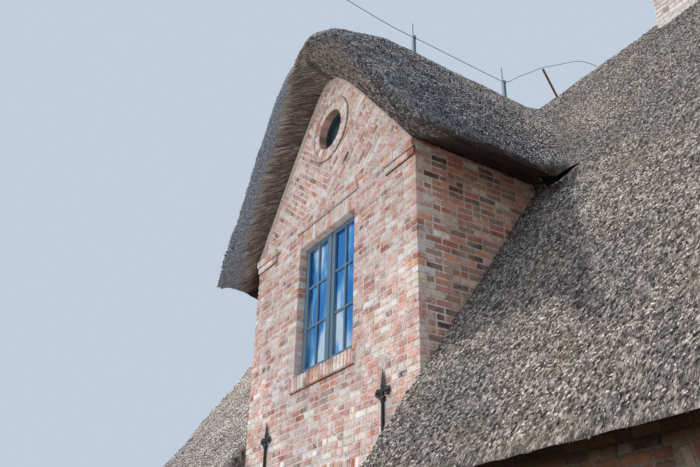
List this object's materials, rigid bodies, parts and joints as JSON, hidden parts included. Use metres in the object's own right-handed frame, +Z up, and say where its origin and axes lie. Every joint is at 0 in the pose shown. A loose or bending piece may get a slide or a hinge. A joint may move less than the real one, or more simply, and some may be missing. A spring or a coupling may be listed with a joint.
{
  "type": "thatched cottage",
  "caption": "Brick cottage with a steep thatched roof, a recessed front gable under a rounded thatched dormer, casement windows, a double entrance door and a chimney",
  "frame": {"origin": "middle of the ground-level footprint of the whole outline, thatch included, at the foot of the walls", "axes": "+X runs along the main ridge to the viewer's right, +Y runs from the gabled front to the back, +Z is up"},
  "size_m": [13.455, 10.5, 10.45],
  "materials": {
    "brick": "matte",
    "pale_brick": "matte",
    "thatch": "matte",
    "dark_thatch": "matte",
    "blue_paint": "satin paint",
    "window_glass": "polished",
    "black_iron": "matte paint",
    "rusty_steel": "rusted",
    "floor_boards": "oiled",
    "step_stone": "matte"
  },
  "bodies": {
    "root": {"back_door": "blue_paint", "back_wall": "brick", "back_window_left_frame": "blue_paint", "back_window_left_glass": "window_glass", "back_window_right_frame": "blue_paint", "back_window_right_glass": "window_glass", "cheek_left": "brick", "cheek_right": "brick", "chimney_stack": "pale_brick", "conductor_post_back": "blue_paint", "conductor_post_front": "blue_paint", "door_leaf_left": "blue_paint", "door_leaf_right": "blue_paint", "door_step": "step_stone", "end_wall_left": "brick", "end_wall_right": "brick", "entrance_frame": "blue_paint", "fanlight_glass": "window_glass", "front_wall_left": "brick", "front_wall_right": "brick", "front_window_left_frame": "blue_paint", "front_window_left_glass": "window_glass", "front_window_middle_frame": "blue_paint", "front_window_middle_glass": "window_glass", "front_window_right_frame": "blue_paint", "front_window_right_glass": "window_glass", "gable_wall": "brick", "gable_window_frame": "blue_paint", "gable_window_glass": "window_glass", "ground_floor": "floor_boards", "lean_pipe": "rusty_steel", "left_end_window_back_frame": "blue_paint", "left_end_window_back_glass": "window_glass", "left_end_window_front_frame": "blue_paint", "left_end_window_front_glass": "window_glass", "left_end_window_upper_frame": "blue_paint", "left_end_window_upper_glass": "window_glass", "oculus_frame": "blue_paint", "oculus_glass": "window_glass", "ridge_wire": "black_iron", "right_end_window_back_frame": "blue_paint", "right_end_window_back_glass": "window_glass", "right_end_window_front_frame": "blue_paint", "right_end_window_front_glass": "window_glass", "right_end_window_upper_frame": "blue_paint", "right_end_window_upper_glass": "window_glass", "thatch_back_left": "thatch", "thatch_back_right": "thatch", "thatch_dormer_left": "dark_thatch", "thatch_dormer_right": "dark_thatch", "thatch_front_left": "thatch", "thatch_front_right": "thatch", "thatch_valley_left": "thatch", "thatch_valley_right": "thatch", "upper_floor": "floor_boards", "wall_anchor_left": "black_iron", "wall_anchor_right": "black_iron"}
  },
  "joints": []
}
